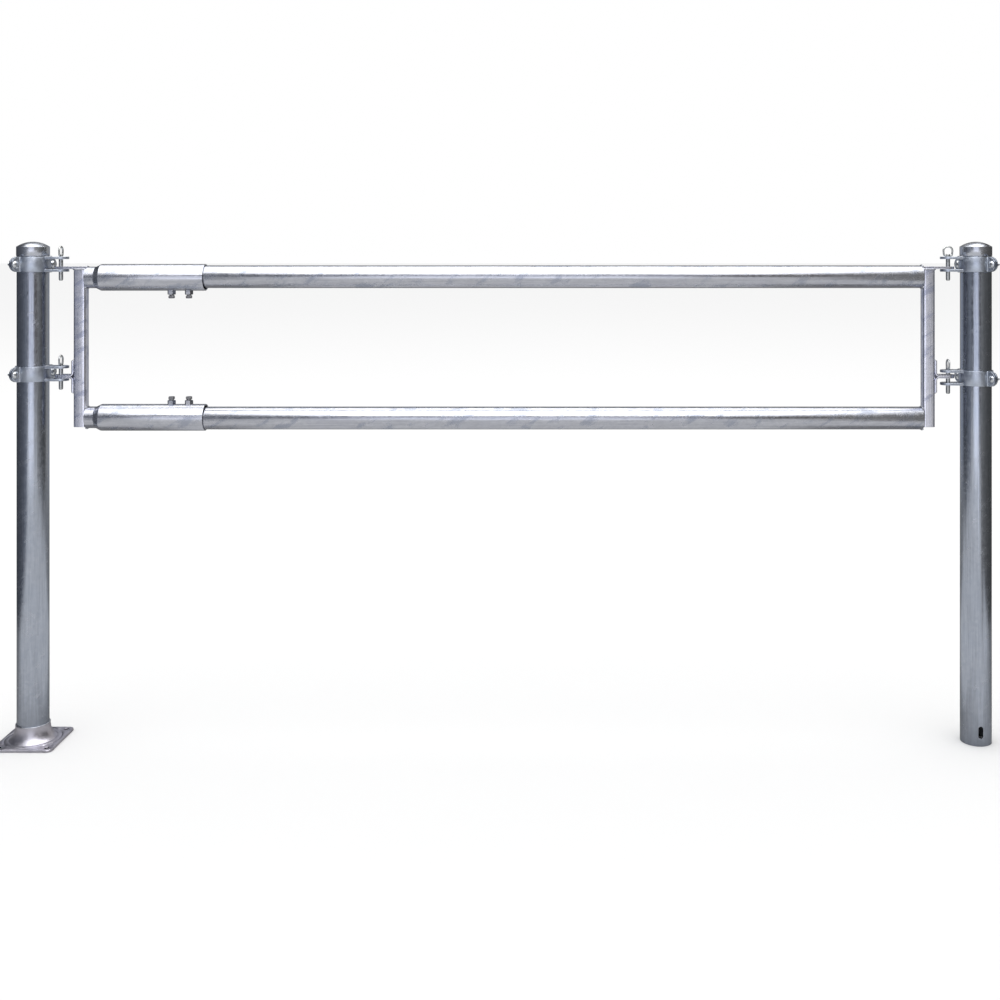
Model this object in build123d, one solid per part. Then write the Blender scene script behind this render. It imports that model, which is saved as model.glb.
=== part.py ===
from build123d import *
import math
import os

# Telescopic two-rail gate between two posts. Millimetres, +Z up. The origin is the centre of the
# underside of the left post's base plate, and +X points at the right post.

# ---- overall sizes ----
post_spacing = 3150.0
post_height = 1650.0
rail_pitch = 472.0
rail_axis_below_top = 100.0

# ---- posts ----
post_diameter = 101.6
post_wall = 3.6
cap_wall = 1.3
cap_skirt = 30.0
cap_dome = 17.0
cap_clearance = 0.2
anchor_slot_width = 16.0
anchor_slot_length = 40.0
anchor_slot_height = 46.0

# ---- base plate under the left post ----
plate_size = 200.0
plate_thickness = 8.0
plate_corner = 15.0
plate_hole_pitch = 160.0
plate_hole = 16.0
plate_drain = 90.0
collar_foot_diameter = 172.0
collar_height = 60.0
collar_lip = 3.4
collar_clearance = 0.1
collar_flare_out = 0.27  # where the flare's middle is, as shares of its spread
collar_flare_up = 0.34  # and of its height

# ---- clamps ----
band_height = 50.0
band_thickness = 5.0
band_gap = 4.0
band_bend = 4.0
ear_length = 31.2  # from the band's outer face to the ear's tip
ear_angle = 60.0
clamp_bolt_from_band = 15.7
left_clamps_below_top = (58.0, 422.0)
right_clamps_below_top = (58.0, 436.0)

# ---- clamp bolts, carriage bolts with hexagon nuts ----
clamp_bolt = 10.0
clamp_bolt_clearance = 0.5
clamp_bolt_head = 24.0
clamp_bolt_head_height = 5.4
clamp_bolt_length = 35.0
clamp_nut_flats = 17.0
clamp_nut_height = 8.4
nut_face = 0.94  # diameter of a nut's turned face, as a share of its width across flats

# ---- hinge jaws, pins and lugs ----
jaw_thickness = 8.0
jaw_width = 52.0
pin_from_band = 37.2
pin_diameter = 14.0
pin_clearance = 0.08
pin_below = 30.0
pin_above = 9.0
pin_nose = 4.0
loop_wire = 6.0
loop_foot = 26.0
loop_width = 34.0
loop_height = 30.0
loop_corner = 4.5
loop_crown = 14.0
loop_lift = 0.3
loop_clearance = 0.1
lug_width = 40.0
lug_clearance = 1.0
upper_lug_thickness = 8.0
lower_lug_thickness = 6.0
lower_lug_leg = 53.0
lower_lug_bend = 6.0

# ---- uprights ----
upright_size = 40.0
upright_wall = 4.0
upright_corner = 8.0
upright_offset = 48.0
upright_tail = 28.0

# ---- telescopic rails ----
sleeve_wall = 4.0
sleeve_gap = 2.4
sleeve_length = 396.0
neck_diameter = 72.0
neck_length = 32.0
shoulder_length = 17.0
rail_diameter = 76.1
rail_wall = 3.2
rail_insertion = 250.0
slide_clearance = 0.1

# ---- set screws with their welded nuts ----
screw_diameter = 16.0
screw_clearance = 0.08
screw_from_mouth = 56.0
screw_spacing = 58.0
screw_head = 17.0
screw_head_corner = 1.4
screw_head_height = 9.5
screw_head_gap = 3.0
screw_tip_gap = 0.1
screw_tip_chamfer = 2.0
nut_flats = 24.0
nut_height = 13.0
nut_root = 4.8  # how far a nut reaches below the sleeve's crown before it is cut to the sleeve

# ---- places worked out from the sizes above ----
post_radius = post_diameter / 2
band_radius = post_radius + band_thickness
ear_reach = band_radius + ear_length
clamp_bolt_radius = band_radius + clamp_bolt_from_band
pin_offset = band_radius + pin_from_band
left_clamp_centres = [post_height - below for below in left_clamps_below_top]
right_clamp_centres = [post_height - below for below in right_clamps_below_top]
sleeve_diameter = rail_diameter + 2 * (sleeve_gap + sleeve_wall)
clamp_axis_to_upright = pin_offset + upright_offset
left_outer_face = clamp_axis_to_upright
left_inner_face = left_outer_face + upright_size
right_outer_face = post_spacing - clamp_axis_to_upright
right_inner_face = right_outer_face - upright_size
jaw_gap = band_height - 2 * jaw_thickness
upper_lug_bottom = left_clamp_centres[0] - jaw_gap / 2 + lug_clearance
upright_top = upper_lug_bottom
lower_lug_bottom = left_clamp_centres[1] - jaw_gap / 2 + lug_clearance
lower_lug_middle = lower_lug_bottom + lower_lug_thickness
upper_rail_z = post_height - rail_axis_below_top
lower_rail_z = upper_rail_z - rail_pitch
upright_bottom = lower_rail_z - upright_tail
sleeve_play = sleeve_diameter / 2 - sleeve_wall - rail_diameter / 2
sleeve_shift = sleeve_play - slide_clearance
sleeve_mouth = left_inner_face + sleeve_length
rail_start = sleeve_mouth - rail_insertion
screw_places = (
    sleeve_mouth - screw_from_mouth,
    sleeve_mouth - screw_from_mouth - screw_spacing,
)

os.makedirs("parts", exist_ok=True)


def save(name, shape):
    shape.label = name
    export_step(shape, f"parts/{name}.step")


def upright_cylinder(diameter, bottom, top, x=0.0, y=0.0):
    height = top - bottom
    return Pos(x, y, bottom + height / 2) * Cylinder(diameter / 2, height)


def tube_along_x(outer, inner, start, end, z):
    length = end - start
    place = Pos((start + end) / 2, 0, z) * Rot(0, 90, 0)
    return place * (Cylinder(outer / 2, length) - Cylinder(inner / 2, length))


def hexagonal_nut(flats, height, bore):
    """A nut standing on the XY plane, with its outer corners turned off at 30 degrees."""
    corner = flats / math.sqrt(3)
    turned = upright_cylinder(2 * corner, 0, height)
    run = corner - flats * nut_face / 2
    turned = chamfer(turned.edges().sort_by(Axis.Z)[-1], run * math.tan(math.radians(30)), run)
    prism = extrude(RegularPolygon(flats / 2, 6, major_radius=False), height)
    return (prism & turned) - upright_cylinder(bore, -height, 2 * height)


# ---- posts, caps and base plate ----
def post(x, bottom):
    bore = post_diameter - 2 * post_wall
    outside = upright_cylinder(post_diameter, bottom, post_height, x)
    return outside - upright_cylinder(bore, bottom - 1, post_height + 1, x)


def anchored_post(x):
    slot = SlotOverall(anchor_slot_length, anchor_slot_width, rotation=90)
    cutter = extrude(Plane.XZ * slot, post_diameter, both=True)
    return post(x, 0.0) - Pos(x, 0, anchor_slot_height) * cutter


def dome_arc(radius, height):
    """Half of a dome's section, from its rim on the XY plane up to its crown on the axis."""
    sphere = (radius**2 + height**2) / (2 * height)
    half_angle = math.asin(radius / sphere) / 2
    middle = (sphere * math.sin(half_angle), height - sphere * (1 - math.cos(half_angle)))
    return ThreePointArc((radius, 0), middle, (0, height))


def post_cap(x):
    inner = post_radius + cap_clearance
    outer = inner + cap_wall
    crown = Line((0, cap_dome), (0, cap_dome - cap_wall))
    skirt = Polyline((inner, 0), (inner, -cap_skirt), (outer, -cap_skirt), (outer, 0))
    outline = skirt + dome_arc(outer, cap_dome) + crown + dome_arc(inner, cap_dome - cap_wall)
    profile = make_face(Plane.XZ * outline)
    return Pos(x, 0, post_height) * revolve(profile, Axis.Z)


def base_plate():
    outline = RectangleRounded(plate_size, plate_size, plate_corner)
    plate = extrude(outline, plate_thickness) - Cylinder(plate_drain / 2, 4 * plate_thickness)
    bore = post_radius + collar_clearance
    foot = collar_foot_diameter / 2
    lip = bore + collar_lip
    rise = collar_height - plate_thickness
    middle = (lip + (foot - lip) * collar_flare_out, plate_thickness + rise * collar_flare_up)
    sides = Polyline((lip, collar_height), (bore, collar_height), (bore, plate_thickness))
    floor = Line((bore, plate_thickness), (foot, plate_thickness))
    trumpet = ThreePointArc((foot, plate_thickness), middle, (lip, collar_height))
    collar = revolve(make_face(Plane.XZ * (sides + floor + trumpet)), Axis.Z)
    foot_solid = plate + collar
    for hole in GridLocations(plate_hole_pitch, plate_hole_pitch, 2, 2):
        foot_solid -= hole * Cylinder(plate_hole / 2, 4 * plate_thickness)
    return foot_solid


# ---- clamps: built with the ears along X and the shell towards +Y, then turned into place ----
def clamp_shell():
    half = Pos(0, band_gap / 2 + band_radius / 2) * Rectangle(3 * band_radius, band_radius)
    ring = (Circle(band_radius) & half) - Circle(post_radius)
    ear_length = ear_reach - post_radius - 1
    profile = ring
    for side in (-1, 1):
        ear_x = side * (ear_reach - ear_length / 2)
        ear_y = band_gap / 2 + band_thickness / 2
        profile += Pos(ear_x, ear_y) * Rectangle(ear_length, band_thickness)
    ear_top = band_gap / 2 + band_thickness
    junction_x = math.sqrt(band_radius**2 - ear_top**2)
    junctions = [
        v
        for v in profile.vertices()
        if abs(v.Y - ear_top) < 0.01 and abs(abs(v.X) - junction_x) < 0.01
    ]
    profile = fillet(junctions, band_bend)
    band = extrude(profile, band_height / 2, both=True)
    stadium = SlotOverall(2 * ear_reach, band_height)
    shell = band & extrude(Plane.XZ * stadium, 2 * band_radius, both=True)
    bolt_hole = Rot(90, 0, 0) * Cylinder(clamp_bolt / 2 + clamp_bolt_clearance, 2 * band_radius)
    for side in (-1, 1):
        shell -= Pos(side * clamp_bolt_radius, 0, 0) * bolt_hole
    return shell


def clamp_bolt_and_nut():
    ear_face = band_gap / 2 + band_thickness
    dome_height = clamp_bolt_head_height
    dome_radius = ((clamp_bolt_head / 2) ** 2 + dome_height**2) / (2 * dome_height)
    dome = Pos(0, 0, dome_height - dome_radius) * Sphere(dome_radius)
    head = dome & (Pos(0, 0, dome_height / 2) * Cylinder(clamp_bolt_head / 2, dome_height))
    shank = Pos(0, 0, -clamp_bolt_length / 2) * Cylinder(clamp_bolt / 2, clamp_bolt_length)
    bolt = head + shank
    nut = hexagonal_nut(clamp_nut_flats, clamp_nut_height, clamp_bolt)
    place = Rot(-90, 0, 0)
    return (
        Pos(0, ear_face, 0) * place * bolt,
        Pos(0, -ear_face, 0) * Rot(90, 0, 0) * nut,
    )


def jaw():
    reach = pin_offset - post_radius / 2
    tongue = Pos(post_radius / 2 + reach / 2, 0) * Rectangle(reach, jaw_width)
    outline = tongue + Pos(pin_offset, 0) * Circle(jaw_width / 2)
    outline -= Circle(band_radius)
    outline -= Pos(pin_offset, 0) * Circle(pin_diameter / 2 + pin_clearance)
    return extrude(outline, jaw_thickness / 2, both=True)


def right_side(shape):
    return Pos(post_spacing, 0, 0) * mirror(shape, Plane.YZ)


def left_side(shape):
    return shape


def hinge_pin(loop_turn):
    below = band_height + pin_below
    shank = upright_cylinder(pin_diameter, -below, pin_above)
    shank = chamfer(shank.edges().sort_by(Axis.Z)[0], pin_nose / 2, pin_nose)
    shank = fillet(shank.edges().sort_by(Axis.Z)[-1], pin_nose / 2)
    bar_z = loop_wire / 2 + loop_lift
    hole = Rot(0, 0, loop_turn) * Pos(0, 0, bar_z) * Rot(0, 90, 0)
    return shank - hole * Cylinder(loop_wire / 2 + loop_clearance, 2 * pin_diameter)


def pin_loop(loop_turn):
    corners = [
        (-loop_foot / 2, 0),
        (loop_foot / 2, 0),
        (loop_width / 2, loop_height),
        (-loop_width / 2, loop_height),
    ]
    radii = [loop_corner, loop_corner, loop_crown, loop_crown]
    path = Plane.XZ * FilletPolyline(*corners, radius=radii, close=True)
    start = Plane(path @ 0, z_dir=path % 0)
    ring = sweep(start * Circle(loop_wire / 2), path)
    return Rot(0, 0, loop_turn) * Pos(0, 0, loop_wire / 2 + loop_lift) * ring


# ---- gate frames: built for the left side, mirrored for the right ----
def upright():
    height = upright_top - upright_bottom
    outline = RectangleRounded(upright_size, upright_size, upright_corner)
    bore = upright_size - 2 * upright_wall
    outline -= RectangleRounded(bore, bore, upright_corner - upright_wall)
    centre = left_outer_face + upright_size / 2
    return Pos(centre, 0, upright_bottom) * extrude(outline, height)


def upper_lug():
    length = left_inner_face - pin_offset
    outline = Pos(pin_offset + length / 2, 0) * Rectangle(length, lug_width)
    outline += Pos(pin_offset, 0) * Circle(lug_width / 2)
    outline -= Pos(pin_offset, 0) * Circle(pin_diameter / 2 + pin_clearance)
    return Pos(0, 0, upper_lug_bottom) * extrude(outline, upper_lug_thickness)


def lower_lug(turn_up):
    t = lower_lug_thickness
    start = pin_offset - lug_width / 2
    path = Polyline((start, 0), (left_outer_face, 0), (left_outer_face, lower_lug_leg))
    inner = Polyline(
        (left_outer_face, lower_lug_leg),
        (left_outer_face - t, lower_lug_leg),
        (left_outer_face - t, t),
        (start, t),
        (start, 0),
    )
    profile = make_face(path + inner)
    outer_corner = profile.vertices().sort_by_distance((left_outer_face, 0))[0]
    profile = fillet(outer_corner, lower_lug_bend + t)
    inner_corner = profile.vertices().sort_by_distance((left_outer_face - t, t))[0]
    profile = fillet(inner_corner, lower_lug_bend)
    strip = extrude(Plane.XZ * profile, lug_width / 2, both=True)
    far = left_outer_face + lug_width
    outline = Pos((pin_offset + far) / 2, 0) * Rectangle(far - pin_offset, lug_width)
    outline += Pos(pin_offset, 0) * Circle(lug_width / 2)
    outline -= Pos(pin_offset, 0) * Circle(pin_diameter / 2 + pin_clearance)
    strip &= extrude(outline, 2 * lower_lug_leg, both=True)
    if not turn_up:
        strip = mirror(strip, Plane.XY)
    return Pos(0, 0, lower_lug_middle) * strip


def sleeve(rail_z, screws_up):
    shift = sleeve_shift if screws_up else -sleeve_shift
    outer = sleeve_diameter / 2
    neck = neck_diameter / 2
    wall = sleeve_wall
    necked_to = left_inner_face + neck_length
    full_from = necked_to + shoulder_length
    profile = Polyline(
        (left_inner_face, neck - wall),
        (left_inner_face, neck),
        (necked_to, neck),
        (full_from, outer),
        (sleeve_mouth, outer),
        (sleeve_mouth, outer - wall),
        (full_from, outer - wall),
        (necked_to, neck - wall),
        close=True,
    )
    body = revolve(make_face(Plane.XZ * profile), Axis.X)
    hole = Cylinder(screw_diameter / 2 + screw_clearance, sleeve_diameter)
    lift = outer if screws_up else -outer
    for x in screw_places:
        body -= Pos(x, 0, lift) * hole
    return Pos(0, 0, rail_z + shift) * body


def screw_seat(rail_z, screws_up):
    """The outer face of the sleeve wall under a nut, on the sleeve's own axis."""
    reach = sleeve_diameter / 2 + sleeve_shift
    return rail_z + reach if screws_up else rail_z - reach


def nut_pair(rail_z, screws_up):
    seat = screw_seat(rail_z, screws_up)
    turn = Rot(0, 0, 0) if screws_up else Rot(180, 0, 0)
    nuts = []
    for x in screw_places:
        bore = screw_diameter + 2 * screw_clearance
        nut = hexagonal_nut(nut_flats, nut_height + nut_root, bore)
        nut = Pos(x, 0, seat) * turn * Pos(0, 0, -nut_root) * nut
        sleeve_axis = rail_z + (sleeve_shift if screws_up else -sleeve_shift)
        nut -= tube_along_x(sleeve_diameter, 1, left_inner_face, sleeve_mouth, sleeve_axis)
        nuts.append(nut)
    return Compound(nuts)


def set_screw(rail_z, screws_up, x):
    seat = screw_seat(rail_z, screws_up)
    tip = rail_diameter / 2 + screw_tip_gap
    under_head = abs(seat - rail_z) + nut_height + screw_head_gap
    length = under_head - tip
    shank = Pos(0, 0, tip + length / 2) * Cylinder(screw_diameter / 2, length)
    shank = chamfer(shank.edges().sort_by(Axis.Z)[0], screw_tip_chamfer)
    square = RectangleRounded(screw_head, screw_head, screw_head_corner)
    head = Pos(0, 0, under_head) * extrude(square, screw_head_height)
    turn = Rot(0, 0, 0) if screws_up else Rot(180, 0, 0)
    return Pos(x, 0, rail_z) * turn * (shank + head)


def rail(rail_z):
    bore = rail_diameter - 2 * rail_wall
    return tube_along_x(rail_diameter, bore, rail_start, right_inner_face, rail_z)


# ---- write every piece ----
save("left_post", post(0.0, plate_thickness))
save("left_post_cap", post_cap(0.0))
save("left_base_plate", base_plate())
save("right_post", anchored_post(post_spacing))
save("right_post_cap", post_cap(post_spacing))

turn_hinge_shell = Rot(0, 0, -90 - (90 - ear_angle))
turn_back_shell = Rot(0, 0, 90 - (90 - ear_angle))
for side_name, to_side, centres, turns in (
    ("left", left_side, left_clamp_centres, (90.0, 90.0)),
    ("right", right_side, right_clamp_centres, (0.0, 90.0)),
):
    bolts = []
    nuts = []
    for level, z, loop_turn in zip(("upper", "lower"), centres, turns):
        height = Pos(0, 0, z)
        name = f"{side_name}_{level}"
        save(f"{name}_hinge_shell", to_side(height * turn_hinge_shell * clamp_shell()))
        save(f"{name}_back_shell", to_side(height * turn_back_shell * clamp_shell()))
        jaw_z = (band_height - jaw_thickness) / 2
        save(f"{name}_top_jaw", to_side(height * Pos(0, 0, jaw_z) * jaw()))
        save(f"{name}_bottom_jaw", to_side(height * Pos(0, 0, -jaw_z) * jaw()))
        for end in (-1, 1):
            bolt, nut = clamp_bolt_and_nut()
            spot = height * turn_hinge_shell * Pos(end * clamp_bolt_radius, 0, 0)
            bolts.append(to_side(spot * bolt))
            nuts.append(to_side(spot * nut))
        pin_place = height * Pos(pin_offset, 0, band_height / 2)
        save(f"{name}_pin", to_side(pin_place * hinge_pin(loop_turn)))
        save(f"{name}_pin_loop", to_side(pin_place * pin_loop(loop_turn)))
    save(f"{side_name}_clamp_bolts", Compound(bolts))
    save(f"{side_name}_clamp_nuts", Compound(nuts))
    save(f"{side_name}_upright", to_side(upright()))
    save(f"{side_name}_upper_lug", to_side(upper_lug()))
    save(f"{side_name}_lower_lug_top_strip", to_side(lower_lug(True)))
    save(f"{side_name}_lower_lug_bottom_strip", to_side(lower_lug(False)))

for level, z, screws_up in (("upper", upper_rail_z, False), ("lower", lower_rail_z, True)):
    save(f"{level}_sleeve", sleeve(z, screws_up))
    save(f"{level}_rail", rail(z))
    save(f"{level}_sleeve_nuts", nut_pair(z, screws_up))
    for number, x in enumerate(screw_places, 1):
        save(f"{level}_set_screw_{number}", set_screw(z, screws_up, x))
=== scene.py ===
import math

import bmesh
import bpy
from mathutils import Matrix, Vector


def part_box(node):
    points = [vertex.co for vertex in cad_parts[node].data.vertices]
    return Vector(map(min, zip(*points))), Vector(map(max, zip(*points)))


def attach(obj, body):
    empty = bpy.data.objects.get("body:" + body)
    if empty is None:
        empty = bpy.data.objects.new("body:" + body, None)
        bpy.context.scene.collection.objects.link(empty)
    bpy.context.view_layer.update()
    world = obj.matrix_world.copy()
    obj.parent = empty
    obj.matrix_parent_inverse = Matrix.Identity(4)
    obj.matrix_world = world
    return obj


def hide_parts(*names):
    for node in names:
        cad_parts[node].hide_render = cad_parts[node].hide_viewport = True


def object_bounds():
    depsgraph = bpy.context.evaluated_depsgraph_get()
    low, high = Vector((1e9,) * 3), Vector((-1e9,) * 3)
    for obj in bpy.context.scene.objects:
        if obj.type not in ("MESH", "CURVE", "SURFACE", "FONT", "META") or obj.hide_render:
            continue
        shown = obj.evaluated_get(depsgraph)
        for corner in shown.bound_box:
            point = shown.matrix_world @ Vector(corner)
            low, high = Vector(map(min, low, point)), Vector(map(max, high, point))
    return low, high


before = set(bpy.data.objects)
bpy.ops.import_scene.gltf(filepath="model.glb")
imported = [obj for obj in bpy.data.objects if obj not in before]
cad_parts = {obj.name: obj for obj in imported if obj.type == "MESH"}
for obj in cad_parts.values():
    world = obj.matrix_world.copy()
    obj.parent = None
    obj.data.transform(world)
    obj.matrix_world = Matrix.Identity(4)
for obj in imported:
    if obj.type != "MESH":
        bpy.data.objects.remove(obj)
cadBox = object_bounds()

sides, levels = ("left", "right"), ("upper", "lower")

# The places that all pieces share, read from the CAD nodes.
postLow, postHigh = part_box("left_post")
rightPostLow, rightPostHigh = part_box("right_post")
postRadius = (postHigh.x - postLow.x) / 2
postTop = postHigh.z
rightPostX = (rightPostLow.x + rightPostHigh.x) / 2
uprightLow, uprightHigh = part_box("left_upright")
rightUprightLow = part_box("right_upright")[0]
railLow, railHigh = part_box("upper_rail")
lowerRailLow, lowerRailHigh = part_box("lower_rail")
railRadius = (railHigh.y - railLow.y) / 2
railHeights = {"upper": (railLow.z + railHigh.z) / 2, "lower": (lowerRailLow.z + lowerRailHigh.z)
    / 2}


# Small helpers for node trees.
def feed(tree, socket, value):
    # A node stands for its first output.
    if isinstance(value, bpy.types.Node):
        value = value.outputs[0]
    if isinstance(value, bpy.types.NodeSocket):
        tree.links.new(value, socket)
    elif value is not None:
        socket.default_value = value


nodePrefix = {"SHADER": "ShaderNode", "GEOMETRY": "GeometryNode"}


def node(tree, kind, feeds=None, **settings):
    # A kind without a prefix is of the tree's own family.
    made = tree.nodes.new(kind if "Node" in kind else nodePrefix[tree.type] + kind)
    for key, value in settings.items():
        setattr(made, key, value)
    for key, value in (feeds or {}).items():
        feed(tree, made.inputs[key], value)
    return made


def sums(tree, operation, first, second=None, third=None, clamp=False):
    made = node(tree, "ShaderNodeMath", operation=operation, use_clamp=clamp)
    for place, value in enumerate((first, second, third)):
        feed(tree, made.inputs[place], value)
    return made.outputs[0]


def mixColour(tree, amount, first, second, blend="MIX"):
    made = node(tree, "ShaderNodeMix", data_type="RGBA", blend_type=blend)
    feed(tree, made.inputs[0], amount)
    feed(tree, made.inputs[6], first)
    feed(tree, made.inputs[7], second)
    return made.outputs[2]


def ramp(tree, value, low, high, toLow=0.0, toHigh=1.0, smooth=True):
    made = node(tree, "ShaderNodeMapRange")
    made.interpolation_type = "SMOOTHSTEP" if smooth else "LINEAR"
    feed(tree, made.inputs["Value"], value)
    made.inputs["From Min"].default_value = low
    made.inputs["From Max"].default_value = high
    feed(tree, made.inputs["To Min"], toLow)
    feed(tree, made.inputs["To Max"], toHigh)
    return made.outputs[0]


socketKinds = {float: "NodeSocketFloat", int: "NodeSocketInt", tuple: "NodeSocketVector"}


def groupTree(name, kind, outputKind, inputs, *outputs):
    # Inputs are named, each with its first value, or with a word for the kind of its socket.
    tree = bpy.data.node_groups.new(name, kind)
    for label, value in inputs.items():
        word = isinstance(value, str)
        kindName = value if word else socketKinds[type(value)]
        socket = tree.interface.new_socket(name=label, in_out="INPUT", socket_type=kindName)
        if not word:
            socket.default_value = value
    for label in outputs:
        tree.interface.new_socket(name=label, in_out="OUTPUT", socket_type=outputKind)
    return tree, tree.nodes.new("NodeGroupInput").outputs, tree.nodes.new("NodeGroupOutput").inputs


def maskGroup(name, inputs, *outputs):
    return groupTree(name, "ShaderNodeTree", "NodeSocketFloat", inputs, *outputs)


def shapeTree(name, **inputs):
    # Sizes are named in one word here, and each capital starts a new word in the tree.
    named = {"Geometry": "NodeSocketGeometry"}
    for label, value in inputs.items():
        named["".join(" " + c if c.isupper() else c for c in label).strip()] = value
    named["Finish"] = "NodeSocketMaterial"
    return groupTree(name, "GeometryNodeTree", "NodeSocketGeometry", named, "Geometry")


def placeOn(tree):
    # Where a point lies on its own piece.
    return node(tree, "ShaderNodeTexCoord").outputs["Object"]


# Groups that the finishes share.
def makeSpangle():
    # Zinc crystals: flat flakes of slightly different grey, with frayed edges.
    tree, given, result = maskGroup("zincSpangle", {"Flake Size": 0.012, "Contrast": 0.5,
        "Fray": 0.35}, "Tone", "Border")
    place = placeOn(tree)
    finer = sums(tree, "DIVIDE", 1.0, given["Flake Size"])
    wobble = node(tree, "TexNoise", {"Vector": place, "Scale": sums(tree, "MULTIPLY", finer, 2.2),
        "Detail": 3.0})
    shift = node(tree, "VectorMath", {0: wobble.outputs["Color"], 1: (0.5, 0.5, 0.5)},
        operation="SUBTRACT")
    amount = sums(tree, "MULTIPLY", given["Fray"], given["Flake Size"])
    scaled = node(tree, "VectorMath", {0: shift, "Scale": amount}, operation="SCALE")
    frayed = node(tree, "VectorMath", {0: place, 1: scaled}, operation="ADD")
    flakes = node(tree, "TexVoronoi", {"Vector": frayed, "Scale": finer})
    border = node(tree, "TexVoronoi", {"Vector": frayed, "Scale": finer},
        feature="DISTANCE_TO_EDGE")
    chance = node(tree, "SeparateColor", {0: flakes.outputs["Color"]})
    tone = sums(tree, "MULTIPLY_ADD", sums(tree, "SUBTRACT", chance, 0.5), given["Contrast"], 0.5)
    feed(tree, result["Tone"], tone)
    feed(tree, result["Border"], ramp(tree, border.outputs["Distance"], 0.0, 0.08, 1.0, 0.0))
    return tree


def makeStreaks():
    # Long soft streaks along one direction of the piece: drawn tube, or zinc that ran off.
    tree, given, result = maskGroup("zincStreaks", {"Lean": (0.0, 0.0, 0.0), "Stretch": (1.0, 1.0,
        1.0), "Scale": 40.0, "Low": 0.45, "High": 0.62}, "Mask")
    place = placeOn(tree)
    leant = node(tree, "Mapping", {"Vector": place, "Rotation": given["Lean"]})
    drawn = node(tree, "Mapping", {"Vector": leant, "Scale": given["Stretch"]})
    clouds = node(tree, "TexNoise", {"Vector": drawn, "Scale": given["Scale"], "Detail": 4.0,
        "Roughness": 0.55})
    spread = node(tree, "MapRange", interpolation_type="SMOOTHSTEP")
    feed(tree, spread.inputs["Value"], clouds)
    feed(tree, spread.inputs["From Min"], given["Low"])
    feed(tree, spread.inputs["From Max"], given["High"])
    feed(tree, result["Mask"], spread)
    return tree


def makeEdgeRub():
    # Where the surface turns within a small radius: rubbed corners and lips.
    tree, given, result = maskGroup("edgeRub", {"Radius": 0.0015, "Strength": 0.6}, "Mask")
    rounded = node(tree, "Bevel", {"Radius": given["Radius"]}, samples=4)
    flat = node(tree, "NewGeometry").outputs["Normal"]
    match = node(tree, "VectorMath", {0: rounded, 1: flat}, operation="DOT_PRODUCT")
    turned = ramp(tree, match.outputs["Value"], 0.995, 0.80, 0.0, 1.0)
    place = placeOn(tree)
    nicks = node(tree, "TexNoise", {"Vector": place, "Scale": 160.0, "Detail": 3.0})
    broken = ramp(tree, nicks, 0.35, 0.6)
    feed(tree, result["Mask"], sums(tree, "MULTIPLY", sums(tree, "MULTIPLY", turned, broken),
        given["Strength"], clamp=True))
    return tree


def makeCornerShadeAndAsh():
    # Painted shade in corners and under lips, together with the dull zinc ash that stays in them.
    tree, given, result = maskGroup("cornerShadeAndAsh", {"Reach": 0.012, "Strength": 0.5}, "Mask")
    hollow = node(tree, "AmbientOcclusion", {"Distance": given["Reach"]}, samples=4,
        only_local=True)
    feed(tree, result["Mask"], sums(tree, "MULTIPLY", ramp(tree, hollow.outputs["AO"], 0.85, 0.35),
        given["Strength"], clamp=True))
    return tree


spangleGroup, streakGroup = makeSpangle(), makeStreaks()
rubGroup, shadeAndAshGroup = makeEdgeRub(), makeCornerShadeAndAsh()
alongZ, alongX = (1.0, 1.0, 0.035), (0.035, 1.0, 1.0)


def placed(tree, group, feeds):
    made = node(tree, "Group")
    made.node_tree = group
    for key, value in feeds.items():
        feed(tree, made.inputs[key], value)
    return made


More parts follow.
